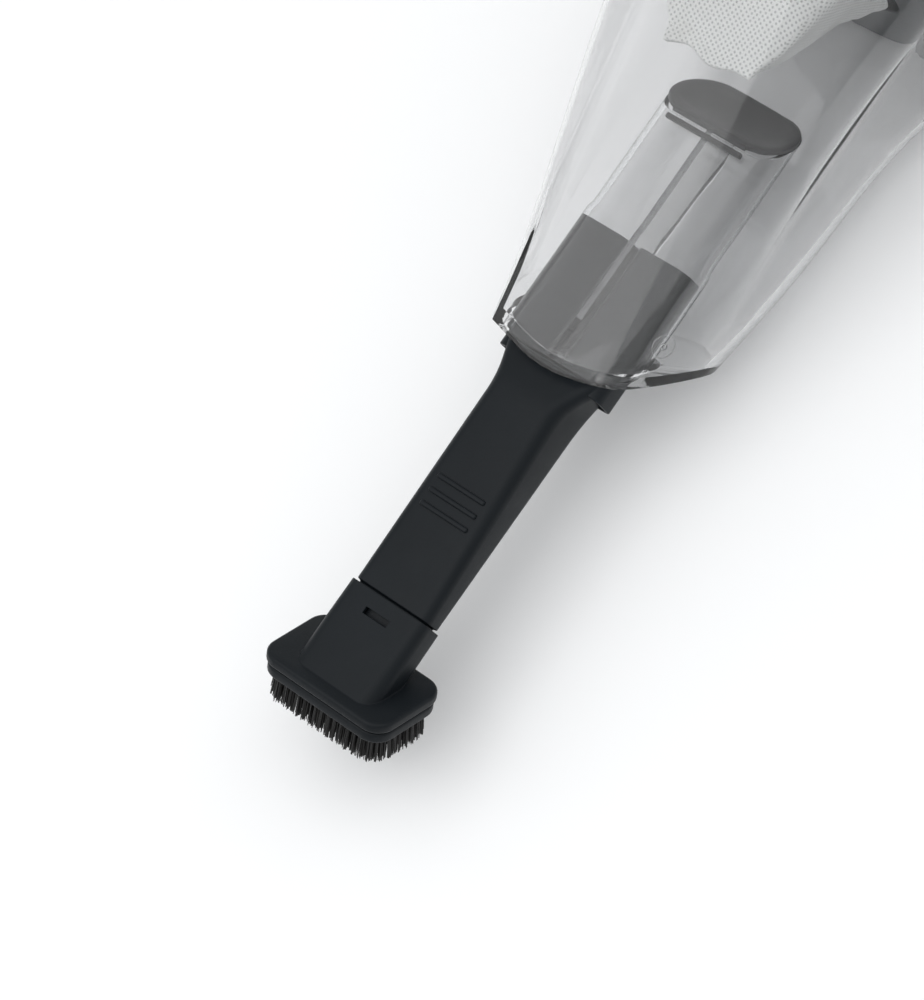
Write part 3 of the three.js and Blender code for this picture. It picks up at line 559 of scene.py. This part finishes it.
def makeFlap():
    width, length, radius = flap["size"]
    bm = bmesh.new()
    leaf = section(bm, 0, rectangle(width, length, radius - 0.1, 0), 10)
    bmesh.ops.rotate(bm, matrix=Matrix.Rotation(math.radians(90), 3, "Y"), verts=leaf.verts)
    grown = bmesh.ops.extrude_face_region(bm, geom=[leaf])["geom"]
    risen = [part for part in grown if isinstance(part, bmesh.types.BMVert)]
    bmesh.ops.translate(bm, vec=(0, 0, flap["thickness"]), verts=risen)
    bmesh.ops.recalc_face_normals(bm, faces=bm.faces)
    roundEdges(bm, sharpEdges(bm, 60), 0.45, 3)
    caps = [face for face in bm.faces if face.normal.z > 0.9 and face.calc_area() > 100]
    bmesh.ops.inset_region(bm, faces=caps, thickness=2.2)
    bmesh.ops.inset_region(bm, faces=caps, thickness=0.5, depth=-0.3)
    for vert in bm.verts:  # the long free edge droops a little between its ends
        away = max(vert.co.x + length * 0.1, 0) / length
        vert.co.z += 0.5 * away * (1 - (vert.co.y / (width / 2)) ** 2) - 0.25 * away
    bmesh.ops.transform(bm, matrix=flapMatrix(), verts=bm.verts)
    pivot = flapMatrix() @ Vector((-(length / 2 - 0.2), 0, flap["thickness"] / 2))
    bead = Matrix.Translation(pivot) @ Matrix.Rotation(math.radians(90), 4, "X")
    beadRadius, beadLength = flap["bead"]
    bmesh.ops.create_cone(bm, cap_ends=True, segments=20, radius1=beadRadius, radius2=beadRadius,
                          depth=beadLength, matrix=bead)
    return meshPiece("flapLeaf", bm, "flap_rubber", "flap", ["flap_valve"], 40)


# A slim bar, close against the flap.
def makeHingeBar():
    piece = refine("flap_hinge_bar", "bowl", "flap_rubber", 0.3, 3)
    back = min(vert.co.x for vert in piece.data.vertices)
    for vert in piece.data.vertices:
        vert.co.x = back + (vert.co.x - back) * flap["barShare"]
    return piece


makeFlap()
makeHingeBar()
print("duct and flap done")

# each row: x, top, half width there, bottom, half width there, corner radius
bag = {"rows": [(7.0, 81, 31, 33, 21, 11), (10, 80, 30.5, 36, 19.5, 10), (19.5, 79, 29, 42, 15, 9),
                (28.5, 77, 27, 48, 14, 7), (37.5, 72, 22, 56, 14.5, 4), (44.5, 67.5, 15.5, 62.5, 13.6, 1.8),
                (48.6, 66.4, 14.2, 64.8, 13.4, 0.7)],
       "cloth": 0.7, "fold": 1.3, "pucker": 1.3}


def makeFilterBag():
    bm = bmesh.new()
    stations = []
    for x, top, topHalf, bottom, bottomHalf, radius in bag["rows"]:
        stations.append((x, mirroredCorners([(topHalf, top, radius), (bottomHalf, bottom, radius)])))
    loft(bm, stations, 5, openStart=True)
    long = [edge for edge in bm.edges if alongX(edge) > 2]
    bmesh.ops.subdivide_edges(bm, edges=long, cuts=5, use_grid_fill=True)
    wide = [edge for edge in bm.edges if edge.calc_length() > 4]
    bmesh.ops.subdivide_edges(bm, edges=wide, cuts=7, use_grid_fill=True)
    between = [vert for vert in bm.verts if 9 < vert.co.x < 44]
    for _ in range(3):
        bmesh.ops.smooth_vert(bm, verts=between, factor=0.5, use_axis_x=False, use_axis_y=True,
                              use_axis_z=True)
    for vert in bm.verts:  # slack cloth: long soft folds that die out at the hem
        x, y, z = vert.co
        free = min(max((x - 8.5) / 12, 0), 1)
        fold = noise.noise(Vector((x / 30, y / 11, z / 13)))
        fold += noise.noise(Vector((x / 9, y / 7, z / 7))) * 0.35
        pucker = math.sin(y * 0.36 + 0.9) * bag["pucker"] * max((x - 38) / 10, 0)
        out = Vector((0, y, z - 62)).normalized()
        vert.co += out * fold * free * bag["fold"] + Vector((pucker, 0, 0))
    bmesh.ops.recalc_face_normals(bm, faces=bm.faces)
    boxUv(bm)
    piece = meshPiece("filterBag", bm, "filter_fabric", "filter", ["filter_bag"], 70)
    thicken(piece, bag["cloth"])
    smooth = piece.modifiers.new("soft", "SUBSURF")
    smooth.levels = smooth.render_levels = 1
    return piece


makeFilterBag()
refine("filter_frame", "filter", "charcoal_plastic", 0.5, 3)
print("filter done")

# each row: ahead of the bowl's seat, width, height, corner radius; the first rows are the flare
nozzle = {"wall": 1.5, "neck": 16.5, "gap": 0.7,
          "rows": [(0, 36.4, 14.6, 6), (1.4, 35.6, 14.8, 5.9), (3, 33.9, 15.3, 5.8), (5, 31.4, 16.2, 5.5),
                   (7.2, 28.6, 17.2, 5.1), (9.6, 26.2, 18.1, 4.7), (12, 24.7, 18.6, 4.4),
                   (14.4, 24.0, 18.6, 4.3), (16.5, 23.7, 18.4, 4.2), (79, 26.4, 9.6, 3),
                   (79.2, 24.4, 7.8, 2.4), (97, 24, 7.4, 2.4)],
          "prong": (16.6, 12.2, 3.5), "prongSpan": (-36.95, 5), "prongWall": 1.4, "foot": (33, 12.4, 5),
          "footDepth": 1.7, "ribs": (44.2, 48.5, 52.8), "rib": (1.5, 16.9, 1.9), "fall": 4.6 / 69}


def makeNozzle():
    bm = bmesh.new()
    rows = nozzle["rows"]
    stations = [(seatX + ahead, rectangle(width, height, radius)) for ahead, width, height, radius in rows]
    loft(bm, stations, 6, True, True)
    long = [edge for edge in bm.edges if alongX(edge) > 30]
    bmesh.ops.subdivide_edges(bm, edges=long, cuts=10, use_grid_fill=True)
    for vert in bm.verts:  # the root follows the slanted nose of the bowl and the flare eases into the neck
        x, y, z = vert.co
        neck = seatX + nozzle["neck"]
        if x < neck:
            along = max(x - seatX, 0) / nozzle["neck"]
            root = noseFaceX(y, z) + nozzle["gap"]
            vert.co.x = root + (neck - root) * along
    bmesh.ops.recalc_face_normals(bm, faces=bm.faces)
    if highest(bm.faces).normal.z < 0:  # an open tube has no inside to tell by
        bmesh.ops.reverse_faces(bm, faces=bm.faces)
    piece = meshPiece("nozzleBody", bm, "ink_plastic", "nozzle", ["crevice_nozzle"], 38)
    thicken(piece, nozzle["wall"])
    softenRims(piece, 0.3, 3, 45)
    return settle(piece, 38)


def makeSpigot():
    width, height, radius = nozzle["prong"]
    tail, tip = [seatX + ahead for ahead in nozzle["prongSpan"]]
    bm = bmesh.new()
    for side in (-1, 1):
        middle = side * (duct["middle"] / 2 + 0.55 + width / 2)
        corners = [(y + middle, z, r) for y, z, r in rectangle(width, height, radius)]
        loft(bm, [(tail, corners), (tip, corners)], 6, True, True)
    bmesh.ops.recalc_face_normals(bm, faces=bm.faces)
    for side in (-1, 1):
        half = [face for face in bm.faces if face.calc_center_median().y * side > 0]
        if highest(half).normal.z < 0:
            bmesh.ops.reverse_faces(bm, faces=half)
    piece = meshPiece("nozzleSpigot", bm, "ink_plastic", "nozzle", (), 38)
    thicken(piece, nozzle["prongWall"])
    return softenRims(piece, 0.25, 3, 45)


# The plate that closes the root of the nozzle round its prongs.
def makeFoot():
    bm = bmesh.new()
    outline = rectangle(*nozzle["foot"])
    loft(bm, [(0, outline), (nozzle["footDepth"], outline)], 6)
    for vert in bm.verts:
        vert.co.x += noseFaceX(vert.co.y, vert.co.z) + nozzle["gap"]
    bmesh.ops.recalc_face_normals(bm, faces=bm.faces)
    return meshPiece("nozzleFoot", bm, "ink_plastic", "nozzle", (), 38)


def makeRibs():
    bm = bmesh.new()
    for ahead in nozzle["ribs"]:
        topZ = axisZ + 9.3 - (ahead - 10) * nozzle["fall"]
        lean = Matrix.Rotation(math.atan(nozzle["fall"]), 4, "Y")
        boxAt(bm, nozzle["rib"], (seatX + ahead, 0, topZ), lean)
    roundEdges(bm, bm.edges, 0.6, 4)
    return meshPiece("nozzleRibs", bm, "ink_plastic", "nozzle", (), 50)


for make in (makeNozzle, makeSpigot, makeFoot, makeRibs):
    make()
print("nozzle done")

brush = {"centre": (seatX + 100, 0, axisZ), "tilt": math.asin(0.743), "plate": (44.5, 27, 6), "layer": 3.3,
         "gap": 0.35, "start": 79.7, "bore": (25.4, 8.8, 2.6), "window": (2.0, 8.4, 6), "windowAhead": 85.2,
         "tufts": 48, "rows": (0.0, 1.9), "strands": 26, "thread": (0.17, 0.13), "length": 7.6,
         "rooted": 0.9}
brushDown = Vector((math.cos(brush["tilt"]), 0, -math.sin(brush["tilt"])))


def ontoBrush(along):
    centre = Vector(brush["centre"]) + brushDown * along
    return Matrix.Translation(centre) @ Matrix.Rotation(brush["tilt"] - math.pi / 2, 4, "Y")


def flatPlate(bm, width, depth, radius, top, bottom, segments=8):
    face = section(bm, 0, rectangle(width, depth, radius, 0), segments)
    bmesh.ops.rotate(bm, matrix=Matrix.Rotation(math.radians(90), 3, "Y"), verts=face.verts)
    bmesh.ops.translate(bm, vec=(0, 0, bottom), verts=face.verts)
    grown = bmesh.ops.extrude_face_region(bm, geom=[face])["geom"]
    risen = [part for part in grown if isinstance(part, bmesh.types.BMVert)]
    bmesh.ops.translate(bm, vec=(0, 0, top - bottom), verts=risen)
    bmesh.ops.recalc_face_normals(bm, faces=bm.faces)


def makeCollar():
    start = seatX + brush["start"]
    bm = bmesh.new()
    loft(bm, [(start, rectangle(28.0, 11.4, 3.4)), (start + 12, rectangle(28.3, 11.7, 3.6)),
              (start + 36, rectangle(29.4, 12.8, 5.6))], 8)
    bmesh.ops.recalc_face_normals(bm, faces=bm.faces)
    seat = Vector(brush["centre"]) + brushDown * 1.2
    bmesh.ops.bisect_plane(bm, geom=list(bm.verts) + list(bm.edges) + list(bm.faces), plane_co=seat,
                           plane_no=brushDown, clear_outer=True)
    bmesh.ops.holes_fill(bm, edges=[edge for edge in bm.edges if edge.is_boundary])
    bmesh.ops.recalc_face_normals(bm, faces=bm.faces)
    piece = meshPiece("brushCollar", bm, "ink_plastic", "brush", ["brush_collar"], 38)
    flange = bmesh.new()
    flatPlate(flange, *brush["plate"], 0, -brush["layer"])
    roundEdges(flange, sharpEdges(flange, 60), 1.0, 5)
    bmesh.ops.transform(flange, matrix=ontoBrush(0), verts=flange.verts)
    combineWith(piece, flange, "UNION")
    slot = bmesh.new()
    boxAt(slot, brush["window"], (seatX + brush["windowAhead"], 0, axisZ + 7.4))
    combineWith(piece, slot, "DIFFERENCE")
    bore = bmesh.new()
    opening = rectangle(*brush["bore"])
    loft(bore, [(start - 1, opening), (start + 42, opening)], 6)
    combineWith(piece, bore, "DIFFERENCE")
    return softenRims(piece, 0.45, 3, 40)


def makeBristlePlate():
    width, depth, radius = brush["plate"]
    layer = brush["layer"]
    bm = bmesh.new()
    flatPlate(bm, width - 0.8, depth - 0.8, radius, 0, -layer)
    roundEdges(bm, sharpEdges(bm, 60), 0.8, 4)
    bmesh.ops.transform(bm, matrix=ontoBrush(layer + brush["gap"]), verts=bm.verts)
    piece = meshPiece("bristleBase", bm, "ink_plastic", "brush", ["bristle_plate"], 40)
    hole = bmesh.new()
    flatPlate(hole, 31, 15, 4, 2, -6)
    bmesh.ops.transform(hole, matrix=ontoBrush(layer + brush["gap"]), verts=hole.verts)
    combineWith(piece, hole, "DIFFERENCE")
    return piece


# A point on a rounded rectangle and the direction outwards there, at a share of the way round.
def aroundOval(width, depth, radius, share):
    straightY, straightX, arc = width - 2 * radius, depth - 2 * radius, radius * math.pi / 2
    way = share * (2 * straightY + 2 * straightX + 4 * arc)
    legs = [("line", straightX), ("arc", arc), ("line", straightY), ("arc", arc)] * 2
    place, heading = Vector((width / 2, -straightX / 2)), Vector((0, 1))
    for kind, length in legs:
        step = min(way, length)
        side = Vector((-heading.y, heading.x))
        if kind == "line":
            place += heading * step
        else:
            angle = step / radius
            place += (heading * math.sin(angle) + side * (1 - math.cos(angle))) * radius
            heading = (heading * math.cos(angle) + side * math.sin(angle)).normalized()
        way -= step
        if way <= 0:
            break
    return place, Vector((heading.y, -heading.x))


# One thin four-sided strand, with its shade and its tip kept as attributes.
def addStrand(bm, strand, tip, base, foot, splay, tall):
    root = Vector((foot.y, foot.x, 0))
    way = Vector((splay.y, splay.x, -1)).normalized()
    turn = Vector((0, 0, 1)).rotation_difference(way).to_matrix().to_4x4()
    place = base @ Matrix.Translation(root + way * tall / 2) @ turn
    thick, thin = brush["thread"]
    made = bmesh.ops.create_cone(bm, cap_ends=False, segments=4, radius1=thick, radius2=thin, depth=tall,
                                 matrix=place)["verts"]
    shade = random.random()
    for vert in made:
        vert[strand] = shade
        vert[tip] = 1.0 if (vert.co - base @ root).length > tall / 2 else 0.0


def makeBristles():
    random.seed(7)
    bm = bmesh.new()
    strand, tip = bm.verts.layers.float.new("strand"), bm.verts.layers.float.new("tip")
    base = ontoBrush(2 * (brush["layer"] + brush["gap"]) - brush["rooted"])
    length = brush["length"] + brush["rooted"]
    for row in brush["rows"]:
        for tuft in range(brush["tufts"]):
            share = (tuft + 0.5 * (row > 0)) / brush["tufts"]
            place, outward = aroundOval(38.2 - 2 * row, 21.2 - 2 * row, 5.0 - row, share)
            lean = outward * (0.05 + 0.03 * random.random())
            for _ in range(brush["strands"]):
                angle, reach = random.random() * math.tau, math.sqrt(random.random()) * 0.95
                aside = Vector((math.cos(angle), math.sin(angle))) * reach
                tall = length * (0.955 + 0.06 * random.random())
                addStrand(bm, strand, tip, base, place + aside, lean + aside * 0.045, tall)
    return meshPiece("bristles", bm, "bristle", "brush", ["bristle_ring"], 80)


makeCollar()
makeBristlePlate()
bristles = makeBristles()
print("brush done, bristle faces:", len(bristles.data.polygons))

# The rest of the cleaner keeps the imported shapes, with rounded edges: finish, then node names.
finish = {
    "pearl_plastic": ["left_housing", "right_housing", "fan_cover", "fan_impeller"],
    "charcoal_plastic": ["release_button", "power_switch", "intake_grille", "fan_housing", "motor_end_cap",
                         "cell_holder_front", "cell_holder_rear", "release_spring_seat"],
    "ink_plastic": ["switch_block", "charge_socket"],
    "grip_rubber": ["handle_grip", "motor_mount_ring"] + [f"foot_{i}" for i in range(1, 5)],
    "steel": ["motor_can", "motor_shaft", "motor_terminal_left", "motor_terminal_right", "cell_strap_front",
              "cell_strap_left", "cell_strap_right", "charge_pin"] + [f"screw_{i}" for i in range(1, 6)],
    "brass": ["fan_nut", "front_bearing", "rear_bearing"],
    "copper_winding": ["motor_rotor"],
    "ferrite": ["magnet_upper", "magnet_lower"],
    "cell_wrap": [f"battery_cell_{i}" for i in range(1, 5)],
    "board_green": ["circuit_board"],
    "lens": ["indicator_lens"],
}
# the nodes that do not ride on the motor body
ridesOn = {"release_button": "release", "power_switch": "switch", "fan_impeller": "rotor",
           "motor_shaft": "rotor", "fan_nut": "rotor", "motor_rotor": "rotor"}
softEdge = {"left_housing": 0.45, "right_housing": 0.45, "handle_grip": 1.0, "release_button": 0.6,
            "power_switch": 0.5, "intake_grille": 0.5, "motor_can": 0.8, "fan_housing": 0.4,
            "motor_terminal_left": 0.1, "motor_terminal_right": 0.1, "cell_strap_front": 0.08,
            "cell_strap_left": 0.08, "cell_strap_right": 0.08, "charge_pin": 0.2}
for slotName, nodeNames in finish.items():
    for nodeName in nodeNames:
        refine(nodeName, ridesOn.get(nodeName, "motor_body"), slotName, softEdge.get(nodeName, 0.3))
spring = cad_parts["release_spring"]
spring.data.materials.clear()
spring.data.materials.append(materials["steel"])
print("body done")

# each lamp: place, size, power; the world is a bright ceiling over greyer walls
studio = {"floor": (0.9, 0.905, 0.91), "walls": (0.4, 0.405, 0.41), "ceiling": (0.8, 0.805, 0.81),
          "lamps": {"key": ((0.9, -0.6, 1.7), 1.8, 8), "fill": ((-1.3, 1.0, 1.5), 1.6, 5),
                    "top": ((-0.1, 0.0, 2.2), 2.4, 12)}}
# the view looks down on the nose from the front left, with the cleaner running up to the right
view = {"place": (0.2553, 0.5586, 1.0727), "forward": (-0.0641, -0.4739, -0.8782),
        "up": (-0.8192, -0.4776, 0.3175), "lens": 158.4}


def makeFloor():
    bm = bmesh.new()
    bmesh.ops.create_grid(bm, x_segments=1, y_segments=1, size=4.0)
    mesh = bpy.data.meshes.new("floor")
    bm.to_mesh(mesh)
    bm.free()
    floor = bpy.data.objects.new("floor", mesh)
    scene.collection.objects.link(floor)
    material, _, shader, _ = newMaterial("paleFloor")
    shader.inputs["Base Color"].default_value = (*studio["floor"], 1)
    shader.inputs["Roughness"].default_value = 0.6
    mesh.materials.append(material)


def makeLight():
    scene.world = bpy.data.worlds.new("softRoom")
    scene.world.use_nodes = True
    room = scene.world.node_tree
    direction = node(room, "ShaderNodeTexCoord").outputs["Generated"]
    height = node(room, "ShaderNodeSeparateXYZ", {0: direction}).outputs[2]
    light = tinted(room, spread(room, height, 0, 1, 0.1, 0.42), studio["walls"], studio["ceiling"])
    room.links.new(light, room.nodes["Background"].inputs[0])
    for name, (place, size, power) in studio["lamps"].items():
        data = bpy.data.lights.new(name, "AREA")
        data.size, data.energy = size, power
        lamp = bpy.data.objects.new(name, data)
        lamp.location = place
        lamp.rotation_euler = (Vector((0.1, 0, 0)) - Vector(place)).to_track_quat("-Z", "Y").to_euler()
        scene.collection.objects.link(lamp)


def makeCamera():
    forward = Vector(view["forward"]).normalized()
    right = forward.cross(Vector(view["up"])).normalized()
    data = bpy.data.cameras.new("camera")
    data.lens, data.sensor_width, data.sensor_fit = view["lens"], 36, "AUTO"
    data.clip_start, data.clip_end = 0.05, 20
    camera = bpy.data.objects.new("camera", data)
    turn = Matrix((right, right.cross(forward), -forward)).transposed().to_4x4()
    camera.matrix_world = Matrix.Translation(view["place"]) @ turn
    scene.collection.objects.link(camera)
    scene.camera = camera


makeFloor()
makeLight()
makeCamera()
scene.view_settings.view_transform = "Standard"
print("studio done")
